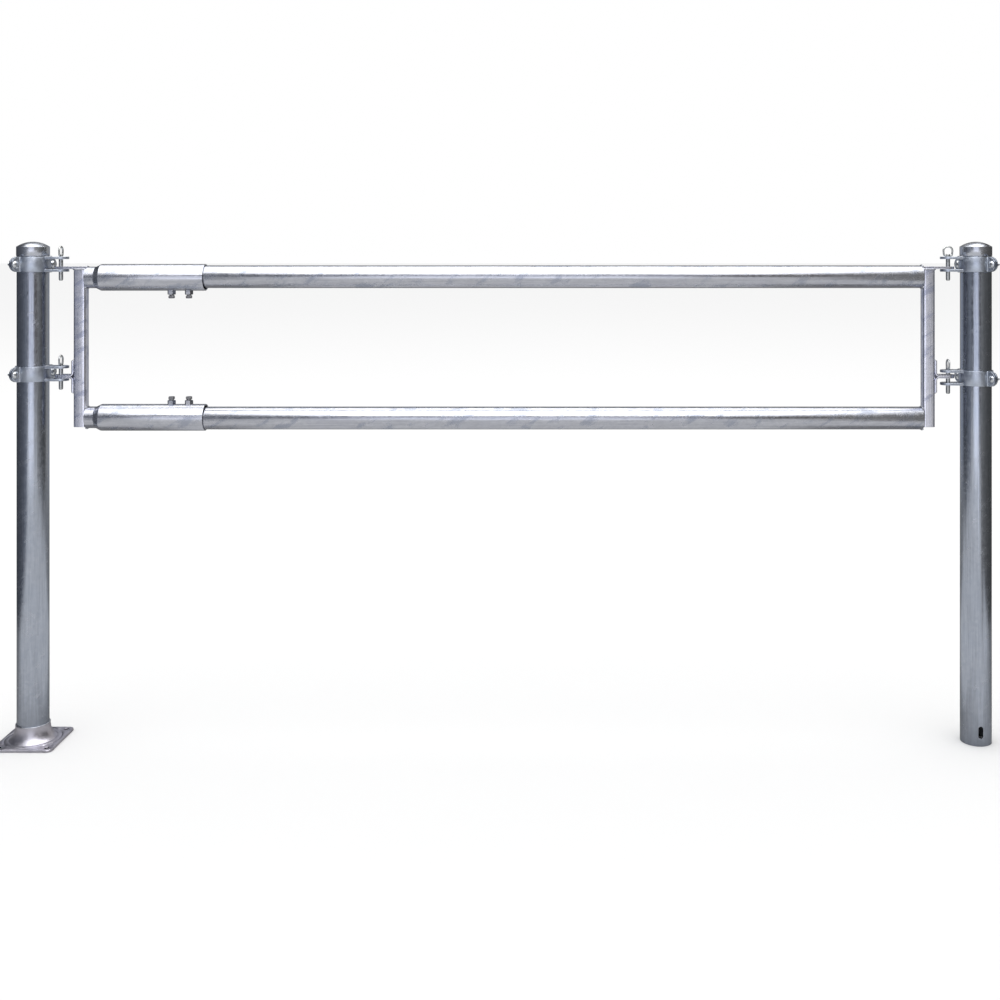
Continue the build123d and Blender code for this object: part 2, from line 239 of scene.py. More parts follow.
def zinc(name, look):
    # One galvanised finish, with every value from its look.
    made = bpy.data.materials.new(name)
    made.use_nodes = True
    tree = made.node_tree
    tree.nodes.clear()
    flakes = placed(tree, spangleGroup, {"Flake Size": look["flake"],
        "Contrast": look["flakeContrast"], "Fray": 0.4})
    drawn = placed(tree, streakGroup, {"Stretch": look["grain"], "Scale": look["grainScale"],
        "Low": 0.3, "High": 0.7})
    runs = placed(tree, streakGroup, {"Lean": look["runLean"], "Stretch": look["runStretch"],
        "Scale": look["runScale"], "Low": look["runLow"], "High": look["runLow"] + 0.14})
    cloud = node(tree, "TexNoise", {"Vector": placeOn(tree), "Scale": 7.0, "Detail": 2.0})
    colour = mixColour(tree, flakes.outputs["Tone"], (*look["dark"], 1), (*look["light"], 1))
    grainShade = ramp(tree, drawn, 0.0, 1.0, 1.0 - look["grainShade"], 1.0 + look["grainShade"],
        smooth=False)
    colour = mixColour(tree, 1.0, colour, node(tree, "CombineColor", {0: grainShade, 1: grainShade,
        2: grainShade}), "MULTIPLY")
    colour = mixColour(tree, sums(tree, "MULTIPLY", runs, look["runStrength"]), colour,
        (*look["runColour"], 1))
    colour = mixColour(tree, sums(tree, "MULTIPLY", ramp(tree, cloud, 0.4, 0.75), look["cloud"]),
        colour, (*look["cloudColour"], 1))
    # Painted shade with zinc ash: corners and hollows are darkened towards a dark colour and made
    # rougher.
    ash = placed(tree, shadeAndAshGroup, {"Reach": look["ashReach"], "Strength": look["ash"]})
    colour = mixColour(tree, ash, colour, (*look["ashColour"], 1))
    rub = placed(tree, rubGroup, {"Radius": look["rubRadius"], "Strength": look["rub"]})
    colour = mixColour(tree, rub, colour, (*look["rubColour"], 1))
    rough = ramp(tree, flakes.outputs["Tone"], 0.2, 0.8, look["roughLow"], look["roughHigh"],
        smooth=False)
    rough = sums(tree, "ADD", rough, sums(tree, "MULTIPLY", runs, look["runRough"]))
    rough = sums(tree, "ADD", rough, sums(tree, "MULTIPLY", ash, 0.25))
    rough = sums(tree, "SUBTRACT", rough, sums(tree, "MULTIPLY", rub, 0.08), clamp=True)
    fine = node(tree, "TexNoise", {"Vector": placeOn(tree), "Scale": look["pitScale"],
        "Detail": 4.0, "Roughness": 0.6})
    height = sums(tree, "MULTIPLY", fine, look["pits"])
    height = sums(tree, "ADD", height, sums(tree, "MULTIPLY", drawn, look["grainDepth"]))
    height = sums(tree, "ADD", height, sums(tree, "MULTIPLY", runs, look["runDepth"]))
    height = sums(tree, "SUBTRACT", height, sums(tree, "MULTIPLY", flakes.outputs["Border"],
        look["flakeDepth"]))
    bump = node(tree, "Bump", {"Strength": 1.0, "Distance": 0.001, "Height": height})
    shader = node(tree, "BsdfPrincipled", {"Base Color": colour, "Roughness": rough, "Normal": bump,
        "Metallic": look["metal"], "Specular Tint": (*look["edgeTint"], 1)})
    node(tree, "OutputMaterial", {"Surface": shader})
    return made


# What all finishes start from.
zincLook = {
    "light": (0.52, 0.54, 0.58), "dark": (0.40, 0.42, 0.46), "metal": 1.0,
    "flake": 0.011, "flakeContrast": 0.45, "flakeDepth": 0.006,
    "grain": alongZ, "grainScale": 240.0, "grainShade": 0.09, "grainDepth": 0.06,
    "runLean": (0.0, 0.6, 0.0), "runStretch": (0.25, 1.0, 1.0), "runScale": 42.0, "runLow": 0.52,
    "runStrength": 0.25, "runColour": (0.62, 0.63, 0.67), "runRough": 0.06, "runDepth": 0.05,
    "cloud": 0.18, "cloudColour": (0.40, 0.42, 0.50),
    # Painted shade with zinc ash in corners: its strength, its reach and its dark colour.
    "ash": 0.4, "ashReach": 0.010, "ashColour": (0.22, 0.22, 0.23),
    "rub": 0.5, "rubRadius": 0.0014, "rubColour": (0.75, 0.76, 0.78),
    "roughLow": 0.20, "roughHigh": 0.28, "pitScale": 900.0, "pits": 0.06,
    "edgeTint": (0.7, 0.7, 0.7),
}


def look(**changes):
    return {**zincLook, **changes}


finishes = {
    "post_zinc": zinc("postZinc", look(light=(0.43, 0.46, 0.52), dark=(0.33, 0.36, 0.42),
        cloudColour=(0.32, 0.37, 0.45), runStrength=0.08, roughLow=0.17, roughHigh=0.24)),
    "cap_metal": zinc("capMetal", look(light=(0.52, 0.54, 0.59), dark=(0.45, 0.47, 0.52),
        flakeContrast=0.3, flake=0.02, runStrength=0.05, roughLow=0.22, roughHigh=0.28, cloud=0.1,
        grainDepth=0.0, grainShade=0.01)),
    "base_zinc": zinc("baseZinc", look(light=(0.60, 0.58, 0.63), dark=(0.46, 0.44, 0.49),
        flake=0.009, ash=0.8, ashReach=0.02, ashColour=(0.13, 0.13, 0.15), grainShade=0.0,
        grainDepth=0.0, roughLow=0.30, roughHigh=0.42, pits=0.12, pitScale=500.0)),
    "clamp_zinc": zinc("clampZinc", look(light=(0.47, 0.51, 0.58), dark=(0.34, 0.38, 0.45),
        flake=0.007, ash=0.7, rub=0.9, grainShade=0.0, grainDepth=0.0, roughLow=0.30,
        roughHigh=0.42)),
    "bolt_zinc": zinc("boltZinc", look(light=(0.58, 0.60, 0.62), dark=(0.46, 0.48, 0.50),
        flake=0.004, ash=0.7, rub=0.8, grainShade=0.0, grainDepth=0.0, runStrength=0.0,
        roughLow=0.22, roughHigh=0.34)),
    "pin_zinc": zinc("pinZinc", look(light=(0.52, 0.53, 0.52), dark=(0.38, 0.39, 0.38), flake=0.005,
        rub=0.7, runStrength=0.1, roughLow=0.26, roughHigh=0.38)),
    "frame_zinc": zinc("frameZinc", look(light=(0.78, 0.78, 0.86), dark=(0.60, 0.62, 0.72),
        flake=0.012, runStrength=0.65, runLow=0.5, runColour=(0.34, 0.37, 0.50), cloud=0.2,
        cloudColour=(0.45, 0.48, 0.60), rub=0.7)),
    "rail_zinc": zinc("railZinc", look(light=(0.50, 0.51, 0.55), dark=(0.39, 0.40, 0.44),
        grain=alongX, runStrength=0.55, runLow=0.52, runColour=(0.24, 0.27, 0.34), runScale=30.0,
        runStretch=(0.35, 1.0, 1.0))),
    "screw_zinc": zinc("screwZinc", look(light=(0.26, 0.26, 0.27), dark=(0.16, 0.16, 0.17),
        flake=0.004, ash=0.8, rub=0.9, rubColour=(0.45, 0.45, 0.46), grainShade=0.0,
        runStrength=0.0)),
}
weldFinish = zinc("weldZinc", look(light=(0.50, 0.51, 0.54), dark=(0.36, 0.37, 0.41), flake=0.005,
    ash=0.5, rub=0.2, grainShade=0.0, grainDepth=0.0, runStrength=0.0, roughLow=0.32,
    roughHigh=0.44, pits=0.15))
print("materials made:", len(finishes) + 1)


# Helpers for meshes.
def skin(name, rings, acrossClosed=False):
    # Rings of as many points each, joined in order with quads. Open ends get a cap.
    count = len(rings[0])
    points = [tuple(point) for ring in rings for point in ring]
    faces = []
    pairs = len(rings) if acrossClosed else len(rings) - 1
    for row in range(pairs):
        here, there = row * count, ((row + 1) % len(rings)) * count
        for spot in range(count):
            after = (spot + 1) % count
            faces.append((here + spot, here + after, there + after, there + spot))
    if not acrossClosed:
        faces.append(tuple(range(count)))
        faces.append(tuple(len(points) - 1 - spot for spot in range(count)))
    mesh = bpy.data.meshes.new(name)
    mesh.from_pydata(points, [], faces)
    tidyMesh(mesh)
    return makeObject(name, mesh)


def wayAt(angle):
    return Vector((math.cos(angle), math.sin(angle), 0))


def filleted(corners, radii, steps=4, closed=True):
    # A 2D line with arcs at its corners.
    line = []
    total = len(corners)
    for place, corner in enumerate(corners):
        corner, radius = Vector(corner), radii[place]
        if radius <= 0 or (not closed and place in (0, total - 1)):
            line.append(corner)
            continue
        before = (Vector(corners[place - 1]) - corner).normalized()
        after = (Vector(corners[(place + 1) % total]) - corner).normalized()
        half = before.angle(after) / 2
        centre = corner + (before + after).normalized() * radius / math.sin(half)
        first = corner + before * radius / math.tan(half) - centre
        last = corner + after * radius / math.tan(half) - centre
        swing = first.angle(last)
        for step in range(steps + 1):
            share = step / steps
            line.append(centre + (first * math.sin((1 - share) * swing) + last
                * math.sin(share * swing)) / math.sin(swing))
    return line


def lathe(name, profile, segments=96):
    # A closed section (radius, height) turned about +Z. Points on the axis are merged.
    rings = []
    for step in range(segments):
        angle = 2 * math.pi * step / segments
        rings.append([(r * math.cos(angle), r * math.sin(angle), z) for r, z in profile])
    return skin(name, rings, acrossClosed=True)


def box2(width, height, radius, steps=4):
    half, tall = width / 2, height / 2
    corners = [(-half, -tall), (half, -tall), (half, tall), (-half, tall)]
    return filleted(corners, [radius] * 4, steps)


def tidyMesh(mesh):
    work = bmesh.new()
    work.from_mesh(mesh)
    bmesh.ops.remove_doubles(work, verts=work.verts, dist=1e-6)
    bmesh.ops.dissolve_degenerate(work, edges=work.edges, dist=1e-7)
    bmesh.ops.recalc_face_normals(work, faces=work.faces)
    work.to_mesh(mesh)
    work.free()


def makeObject(name, mesh):
    made = bpy.data.objects.new(name, mesh)
    bpy.context.scene.collection.objects.link(made)
    return made


def plain(thing):
    # The evaluated shape of an object as a plain mesh, with its modifiers gone.
    bpy.context.view_layer.update()
    shaped = thing.evaluated_get(bpy.context.evaluated_depsgraph_get())
    mesh = bpy.data.meshes.new_from_object(shaped)
    thing.modifiers.clear()
    thing.data = mesh
    return thing


def cut(thing, cutter):
    tool = thing.modifiers.new("cut", "BOOLEAN")
    tool.operation, tool.solver, tool.object = "DIFFERENCE", "EXACT", cutter
    plain(thing)
    bpy.data.objects.remove(cutter)
    return thing


def moved(thing, x=0.0, y=0.0, z=0.0):
    thing.data.transform(Matrix.Translation((x, y, z)))
    return thing


def peg(name, radius, low, high, segments=32):
    return lathe(name, [(0, low), (radius, low), (radius, high), (0, high)], segments)


def finishPiece(thing, name, body, slotName, nodes=(), material=None, sharp=32):
    # Normals, shading, finish, and the body that carries the piece.
    tidyMesh(thing.data)
    thing.name = thing.data.name = name
    thing.data.shade_smooth()
    thing.data.set_sharp_from_angle(angle=math.radians(sharp))
    thing.data.materials.clear()
    thing.data.materials.append(material or finishes[slotName])
    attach(thing, body)
    if nodes:
        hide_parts(*nodes)
    return thing


def onSide(thing, side):
    # Everything is made for the left side, and mirrored for the right side.
    if side == "right":
        flip = Matrix.Scale(-1, 4, (1, 0, 0))
        thing.data.transform(Matrix.Translation((rightPostX, 0, 0)) @ flip)
    return thing


def band(name, line, halves, thickness, edge, across):
    # A flat bar that follows a line of (point, normal), with its own half width at each point.
    rings = []
    for (point, normal), half in zip(line, halves):
        section = box2(thickness, 2 * half, min(edge, 0.9 * half), 2)
        rings.append([point + normal * u + across * v for u, v in section])
    return skin(name, rings)


# Trees for shapes that follow a rule or repeat.
def endTree(tree, result, shape, given):
    solid = node(tree, "RealizeInstances", {"Geometry": shape})
    painted = node(tree, "SetMaterial", {"Geometry": solid, "Material": given["Finish"]})
    feed(tree, result["Geometry"], painted)
    return tree


def makeTubeTree():
    # A round tube: its wall is a filleted strip carried round a circle.
    tree, given, result = shapeTree("tubeTree", Radius=0.05, Wall=0.0036, Length=1.0, Lip=0.0008,
        Facets=96)
    middle = sums(tree, "SUBTRACT", given["Radius"], sums(tree, "DIVIDE", given["Wall"], 2.0))
    circle = node(tree, "CurvePrimitiveCircle", {"Resolution": given["Facets"], "Radius": middle})
    upright = node(tree, "SetCurveNormal", {"Curve": circle}, mode="Z_UP")
    strip = node(tree, "CurvePrimitiveQuadrilateral", {"Width": given["Wall"],
        "Height": given["Length"]})
    lipped = node(tree, "FilletCurve", {"Curve": strip, "Count": 3, "Radius": given["Lip"]},
        mode="POLY")
    wall = node(tree, "CurveToMesh", {"Curve": upright, "Profile Curve": lipped})
    return endTree(tree, result, wall, given)


def makeBeadTree():
    # A weld bead along a line: its thickness rises and falls with the pulses of the torch.
    tree, given, result = shapeTree("beadTree", BeadRadius=0.003, Pulse=0.0035, PulseDepth=0.22,
        Unevenness=0.25, Seed=1.0)
    line = node(tree, "MeshToCurve", {"Mesh": given["Geometry"]})
    spaced = node(tree, "ResampleCurve", {"Curve": line, "Length": sums(tree, "DIVIDE",
        given["Pulse"], 5.0)}, mode="LENGTH")
    along = node(tree, "SplineParameter").outputs["Length"]
    beat = sums(tree, "PINGPONG", sums(tree, "DIVIDE", along, given["Pulse"]), 0.5)
    pulse = sums(tree, "MULTIPLY", sums(tree, "POWER", sums(tree, "MULTIPLY", beat, 2.0), 0.6),
        given["Pulse Depth"])
    drift = node(tree, "ShaderNodeTexNoise", {"Vector": node(tree, "InputPosition"),
        "W": given["Seed"], "Scale": 140.0, "Detail": 1.0}, noise_dimensions="4D")
    uneven = sums(tree, "MULTIPLY", sums(tree, "SUBTRACT", drift, 0.5), given["Unevenness"])
    size = sums(tree, "ADD", sums(tree, "ADD", 1.0, pulse), uneven)
    sized = node(tree, "SetCurveRadius", {"Curve": spaced, "Radius": sums(tree, "MULTIPLY", size,
        given["Bead Radius"])})
    profile = node(tree, "CurvePrimitiveCircle", {"Resolution": 8, "Radius": 1.0})
    feeds = {"Curve": sized, "Profile Curve": profile, "Fill Caps": True}
    bead = node(tree, "CurveToMesh", feeds)
    feed(tree, bead.inputs["Scale"], node(tree, "InputRadius"))
    return endTree(tree, result, bead, given)


def makeThreadTree():
    # A screw thread: a six-sided rod, half sunk in the core, carried up a helix.
    tree, given, result = shapeTree("threadTree", Diameter=0.01, Pitch=0.0015, Length=0.02)
    core = sums(tree, "SUBTRACT", sums(tree, "DIVIDE", given["Diameter"], 2.0),
        sums(tree, "MULTIPLY", given["Pitch"], 0.42))
    helix = node(tree, "CurveSpiral", {"Resolution": 24, "Rotations": sums(tree, "DIVIDE",
        given["Length"], given["Pitch"]), "Start Radius": core, "End Radius": core,
        "Height": given["Length"]})
    steady = node(tree, "SetCurveNormal", {"Curve": helix}, mode="Z_UP")
    ridge = node(tree, "CurvePrimitiveCircle", {"Resolution": 6, "Radius": sums(tree, "MULTIPLY",
        given["Pitch"], 0.42)})
    thread = node(tree, "CurveToMesh", {"Curve": steady, "Profile Curve": ridge, "Fill Caps": True})
    both = node(tree, "JoinGeometry")
    for shape in (thread, given["Geometry"]):
        feed(tree, both.inputs[0], shape)
    return endTree(tree, result, both, given)


def makeFastenerTree():
    # One fastener on every point, turned to the point's own axis.
    tree, given, result = shapeTree("fastenerTree", Fastener="NodeSocketObject", SpinSeed=3)
    axis = node(tree, "InputNamedAttribute", {"Name": "axis"}, data_type="FLOAT_VECTOR")
    spin = node(tree, "FunctionNodeRandomValue", {"Seed": given["Spin Seed"]})
    spin.inputs[2].default_value, spin.inputs[3].default_value = -0.5, 0.5
    turned = node(tree, "ShaderNodeCombineXYZ", {"Z": spin.outputs[1]})
    start = node(tree, "FunctionNodeEulerToRotation", {0: turned})
    aimed = node(tree, "FunctionNodeAlignRotationToVector", {"Vector": axis}, axis="Z")
    both = node(tree, "FunctionNodeRotateRotation", {0: aimed, 1: start}, rotation_space="LOCAL")
    one = node(tree, "ObjectInfo", {"Object": given["Fastener"], "As Instance": True})
    many = node(tree, "InstanceOnPoints", {"Points": given["Geometry"],
        "Instance": one.outputs["Geometry"], "Rotation": both})
    return endTree(tree, result, many, given)


def makeWireTree():
    # Round wire along a closed line whose corners have their own bends.
    tree, given, result = shapeTree("wireTree", Wire=0.006, Facets=20)
    line = node(tree, "MeshToCurve", {"Mesh": given["Geometry"]})
    bend = node(tree, "InputNamedAttribute", {"Name": "bend"}, data_type="FLOAT")
    bent = node(tree, "FilletCurve", {"Curve": line, "Count": 12, "Radius": bend}, mode="POLY")
    profile = node(tree, "CurvePrimitiveCircle", {"Resolution": given["Facets"],
        "Radius": sums(tree, "DIVIDE", given["Wire"], 2.0)})
    wire = node(tree, "CurveToMesh", {"Curve": bent, "Profile Curve": profile})
    return endTree(tree, result, wire, given)


tubeTree, beadTree, threadTree = makeTubeTree(), makeBeadTree(), makeThreadTree()
fastenerTree, wireTree = makeFastenerTree(), makeWireTree()


def grown(thing, tree, finish, **sizes):
    # Runs a tree on an object with the sizes given by name, and keeps the plain mesh.
    modifier = thing.modifiers.new("tree", "NODES")
    modifier.node_group = tree
    named = {item.name.replace(" ", ""): item.identifier for item in tree.interface.items_tree
        if item.in_out == "INPUT"}
    for label, value in {"Finish": finish, **sizes}.items():
        modifier[named[label]] = value
    return plain(thing)


def emptyMesh(name):
    return makeObject(name, bpy.data.meshes.new(name))


def lineObject(name, points, closed=False):
    mesh = bpy.data.meshes.new(name)
    edges = [(spot, spot + 1) for spot in range(len(points) - 1)]
    if closed:
        edges.append((len(points) - 1, 0))
    mesh.from_pydata([tuple(point) for point in points], edges, [])
    return makeObject(name, mesh)


def lieAlongX(thing, x, z):
    thing.data.transform(Matrix.Translation((x, 0, z)) @ Matrix.Rotation(math.pi / 2, 4, "Y"))
    return thing


def bead(name, lines, body, slotName, radius=0.003, pulse=0.0035, seed=1.0):
    # Welds of one body in one piece. Each line is (points, closed).
    parts = []
    for place, (points, closed) in enumerate(lines):
        part = grown(lineObject(name, points, closed), beadTree, weldFinish, BeadRadius=radius,
            Pulse=pulse, Seed=seed + place)
        parts.append(part)
    return finishPiece(joined(parts), name, body, slotName, material=weldFinish, sharp=60)


def joined(parts):
    work = bmesh.new()
    for part in parts:
        work.from_mesh(part.data)
    work.to_mesh(parts[0].data)
    work.free()
    for part in parts[1:]:
        bpy.data.objects.remove(part)
    return parts[0]


def hexNut(name, flats, height, bore, corner=0.47):
    # Hexagon nut standing on Z = 0, with both faces turned at 30 degrees and a countersunk bore.
    steps = 72
    face = flats * corner
    slope = math.tan(math.radians(30))
    rings = []
    for step in range(steps):
        angle = 2 * math.pi * step / steps
        reach = flats / 2 / math.cos((angle % (math.pi / 3)) - math.pi / 6)
        drop = max(0.0, reach - face) * slope
        way = wayAt(angle)
        sink = 0.06 * bore
        section = [(bore / 2, sink), (bore / 2 + sink, 0), (face, 0), (reach, drop),
            (reach, height - drop), (face, height), (bore / 2 + sink, height),
            (bore / 2, height - sink)]
        rings.append([way * r + Vector((0, 0, z)) for r, z in section])
    return skin(name, rings, acrossClosed=True)


# Posts.
postSizes = {"wall": 0.0036, "lip": 0.0009, "facets": 128, "slotWidth": 0.016, "slotLength": 0.040,
    "slotHeight": 0.046}


def makePost(name, body, low, x):
    length = postTop - low
    made = grown(emptyMesh(name), tubeTree, finishes["post_zinc"], Radius=postRadius,
        Wall=postSizes["wall"], Length=length, Lip=postSizes["lip"], Facets=postSizes["facets"])
    moved(made, x, 0, low + length / 2)
    if name.startswith("right"):
        outline = box2(postSizes["slotWidth"], postSizes["slotLength"], postSizes["slotWidth"] / 2
            - 1e-5, 8)
        rings = [[(x + u, y, postSizes["slotHeight"] + v) for u, v in outline]
            for y in (-0.07, 0.07)]
        cut(made, skin("slotCutter", rings))
    return finishPiece(made, name + "_tube", body, "post_zinc", [name])


makePost("left_post", "left_post_set", postLow.z, 0.0)
makePost("right_post", "right_post_set", rightPostLow.z, rightPostX)

capSizes = {"wall": 0.0013, "clearance": 0.0002, "skirt": 0.030, "dome": 0.017, "rim": 0.0035}


def makeCap(side):
    inner = postRadius + capSizes["clearance"]
    outer = inner + capSizes["wall"]

    def dome(radius, height, rim):
        # Pressed dome with a tight roll where it meets the skirt.
        sphere = (radius**2 + height**2) / (2 * height)
        line = []
        for step in range(15):
            angle = math.asin((radius - 0.6 * rim) / sphere) * (1 - step / 14)
            line.append((sphere * math.sin(angle), height - sphere * (1 - math.cos(angle))))
        line[-1] = (0.0, line[-1][1])
        return line

    over = dome(outer, capSizes["dome"], capSizes["rim"])
    under = dome(inner, capSizes["dome"] - capSizes["wall"], capSizes["rim"])
    roll = filleted([(outer, -0.010), (outer, 0.0006), over[0]], [0, 0.0016, 0], 5, closed=False)
    low = -capSizes["skirt"]
    profile = [(inner, low + 0.0004), (inner + 0.0004, low), (outer - 0.0004, low),
        (outer, low + 0.0004)]
    profile += [tuple(point) for point in roll] + over[1:]
    profile += list(reversed(under)) + [(inner, -0.0006)]
    made = lathe("cap", profile, 96)
    moved(made, 0.0 if side == "left" else rightPostX, 0, postTop)
    return finishPiece(made, side + "_cap", side + "_post_set", "cap_metal", [side + "_post_cap"],
        sharp=50)


makeCap("left")
makeCap("right")
print("posts and caps made")

# Base plate.
plateSizes = {"half": 0.100, "corner": 0.015, "thickness": 0.008, "drain": 0.045, "bore": 0.0509,
    "lip": 0.0543, "height": 0.060, "foot": 0.086, "holePitch": 0.160, "hole": 0.008,
    "sinkFrom": 0.0072, "sinkTo": 0.0122, "sinkWiden": 0.005, "edge": 0.0015, "facets": 144,
    "swell": 0.0028, "rollIn": 0.13, "land": 0.017, "landFade": 0.012, "grooveAt": 0.0035,
    "grooveWidth": 0.0028, "grooveDepth": 0.75}


def squareReach(angle, half, corner):
    # How far a square with round corners reaches in one direction.
    across, up = abs(math.cos(angle)), abs(math.sin(angle))
    wide, thin = max(across, up), min(across, up)
    inset = half - corner
    if half * thin / wide <= inset:
        return half / wide
    along = inset * (across + up)
    return along + math.sqrt(along**2 - 2 * inset**2 + corner**2)


def plateSwell(x, y):
    # The pressing: sides swell up from the edge, flat lands stay round the bolt holes.
    s = plateSizes
    reach = math.hypot(x, y)
    edge = 1 - max(abs(x), abs(y)) / s["half"]
    rise = math.sin(min(1.0, max(0.0, edge / s["rollIn"])) * math.pi / 2)
    pitch = s["holePitch"] / 2
    away = math.hypot(abs(x) - pitch, abs(y) - pitch)
    land = min(1.0, max(0.0, (away - s["land"]) / s["landFade"]))
    ring = math.exp(-((reach - s["foot"] - s["grooveAt"]) / s["grooveWidth"])**2)
    return s["swell"] * (rise * land * land * (3 - 2 * land) - s["grooveDepth"] * ring)


def makeBasePlate():
    s = plateSizes
    top = s["thickness"]
    rings = []
    for step in range(s["facets"]):
        angle = 2 * math.pi * step / s["facets"]
        way = wayAt(angle)
        reach = squareReach(angle, s["half"], s["corner"])
        section = [(s["bore"], top), (s["bore"], s["height"] - 0.0005), (s["bore"] + 0.0007,
            s["height"]), (s["lip"] - 0.0007, s["height"])]
        for share in (0.0, 0.03, 0.08, 0.15, 0.24, 0.34, 0.45, 0.56, 0.67, 0.78, 0.88, 0.95, 1.0):
            turn = share * math.pi / 2
            section.append((s["foot"] - (s["foot"] - s["lip"]) * math.cos(turn), s["height"]
                - 0.0008 - (s["height"] - top - 0.0008) * math.sin(turn)))
        inner = len(section)
        for share in (0.06, 0.14, 0.22, 0.30, 0.40, 0.52, 0.64, 0.75, 0.84, 0.91, 0.96, 1.0):
            section.append((s["foot"] + (reach - s["edge"] - s["foot"]) * share, top))
        section += [(reach - 0.4 * s["edge"], top - 0.4 * s["edge"]),
            (reach, top - 1.4 * s["edge"]), (reach, 0.0006), (reach - 0.0006, 0.0)]
        section += [(s["drain"] + 0.0006, 0.0), (s["drain"], 0.0006), (s["drain"], top)]
        ring = []
        for place, (r, z) in enumerate(section):
            point = way * r + Vector((0, 0, z))
            if inner - 3 <= place < len(section) - 7:
                point.z += plateSwell(point.x, point.y)
            ring.append(point)
        rings.append(ring)
    made = skin("basePlate", rings, acrossClosed=True)
    pitch = s["holePitch"] / 2
    for x in (-pitch, pitch):
        for y in (-pitch, pitch):
            cutter = lathe("hole", [(0, -0.002), (s["hole"], -0.002), (s["hole"], s["sinkFrom"]),
                (s["hole"] + s["sinkWiden"], s["sinkTo"]), (0, s["sinkTo"])], 40)
            moved(cutter, x, y, 0)
            cut(made, cutter)
    return finishPiece(made, "base_plate", "left_post_set", "base_zinc", ["left_base_plate"],
        sharp=38)


makeBasePlate()
print("base plate made")

# Clamps.
clampSizes = {"height": 0.050, "thickness": 0.005, "gap": 0.004, "bend": 0.004, "reach": 0.087,
    "hingeTurn": -120.0, "backTurn": 60.0, "edge": 0.0012, "boltAt": 0.0715, "boltHole": 0.0055,
    "jawThickness": 0.008, "jawHalf": 0.026, "pinAt": 0.093, "pinHole": 0.00708}


def clampLine():
    # The middle line of a half shell with its two ears, as (point, outward normal).
    s = clampSizes
    middle = postRadius + s["thickness"] / 2
    ear = (s["gap"] + s["thickness"]) / 2
    bend = s["bend"] + s["thickness"] / 2
    centre = Vector((-math.sqrt((middle + bend)**2 - (ear + bend)**2), ear + bend, 0))
    line = []
    tip = s["reach"] - s["height"] / 2
    for degrees in (86, 78, 68, 56, 42, 28, 14, 0):
        line.append((Vector((-(tip + s["height"] / 2 * math.sin(math.radians(degrees))), ear, 0)),
            Vector((0, 1, 0))))
    startAngle, endAngle = -math.pi / 2, math.atan2(-centre.y, -centre.x)
    for step in range(1, 6):
        angle = startAngle + (endAngle - startAngle) * step / 6
        way = wayAt(angle)
        line.append((centre + way * bend, -way))
    first = math.atan2(centre.y, centre.x)
    for step in range(45):
        angle = first + (math.pi - 2 * first) * step / 44
        way = wayAt(angle)
        line.append((way * middle, way))
    back = [(Vector((-p.x, p.y, 0)), Vector((-n.x, n.y, 0))) for p, n in reversed(line[:13])]
    return line + back


def makeShell(name, side, z, turn):
    s = clampSizes
    line = clampLine()
    tip = s["reach"] - s["height"] / 2
    halves = []
    for point, normal in line:
        past = max(0.0, abs(point.x) - tip) if abs(normal.y) > 0.999 and point.y < 0.01 else 0.0
        halves.append(math.sqrt(max(0.0, (s["height"] / 2)**2 - past**2)))
    made = band(name, line, halves, s["thickness"], s["edge"], Vector((0, 0, 1)))
    for x in (-s["boltAt"], s["boltAt"]):
        hole = peg("hole", s["boltHole"], -0.03, 0.03)
        hole.data.transform(Matrix.Translation((x, 0, 0)) @ Matrix.Rotation(math.pi / 2, 4, "X"))
        cut(made, hole)
    made.data.transform(Matrix.Translation((0, 0, z)) @ Matrix.Rotation(math.radians(turn), 4, "Z"))
    onSide(made, side)
    return finishPiece(made, name + "_pressed", side + "_post_set", "clamp_zinc", [name], sharp=40)


def makeJaw(name, side, z):
    s = clampSizes
    bandRadius = postRadius + s["thickness"]
    half = s["jawHalf"]
    first = math.asin(half / bandRadius)
    outline = [(bandRadius * math.cos(a), bandRadius * math.sin(a))
        for a in (first - 2 * first * step / 12 for step in range(13))]
    outline += [(s["pinAt"] + half * math.cos(a), half * math.sin(a))
        for a in (-math.pi / 2 + math.pi * step / 28 for step in range(29))]
    rings = []
    thick = s["jawThickness"]
    for height, inset in ((-thick / 2, 0.0007), (-thick / 2 + 0.0007, 0), (thick / 2 - 0.0007, 0),
            (thick / 2, 0.0007)):
        ring = []
        for place, (x, y) in enumerate(outline):
            if place > 12:
                way = Vector((x - s["pinAt"], y)).normalized()
                x, y = x - way.x * inset, y - way.y * inset
            ring.append((x, y, z + height))
        rings.append(ring)
    made = skin(name, rings)
    hole = peg("hole", s["pinHole"], z - 0.02, z + 0.02, 40)
    moved(hole, s["pinAt"], 0, 0)
    cut(made, hole)
    onSide(made, side)
    return finishPiece(made, name + "_plate", side + "_post_set", "clamp_zinc", [name], sharp=40)


clampHeights = {}
for side in sides:
    for level in levels:
        low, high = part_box(f"{side}_{level}_hinge_shell")
        clampHeights[side, level] = (low.z + high.z) / 2

for (side, level), z in clampHeights.items():
    name = f"{side}_{level}"
    makeShell(name + "_hinge_shell", side, z, clampSizes["hingeTurn"])
    makeShell(name + "_back_shell", side, z, clampSizes["backTurn"])
    reach = (clampSizes["height"] - clampSizes["jawThickness"]) / 2
    makeJaw(name + "_top_jaw", side, z + reach)
    makeJaw(name + "_bottom_jaw", side, z - reach)
print("clamps made")

# Clamp bolts and nuts.
boltSizes = {"diameter": 0.010, "pitch": 0.0015, "head": 0.012, "headHeight": 0.0054,
    "length": 0.035, "flats": 0.017, "nutHeight": 0.0084, "threadDepth": 0.0007, "smooth": 0.012,
    "runOut": 0.0145}


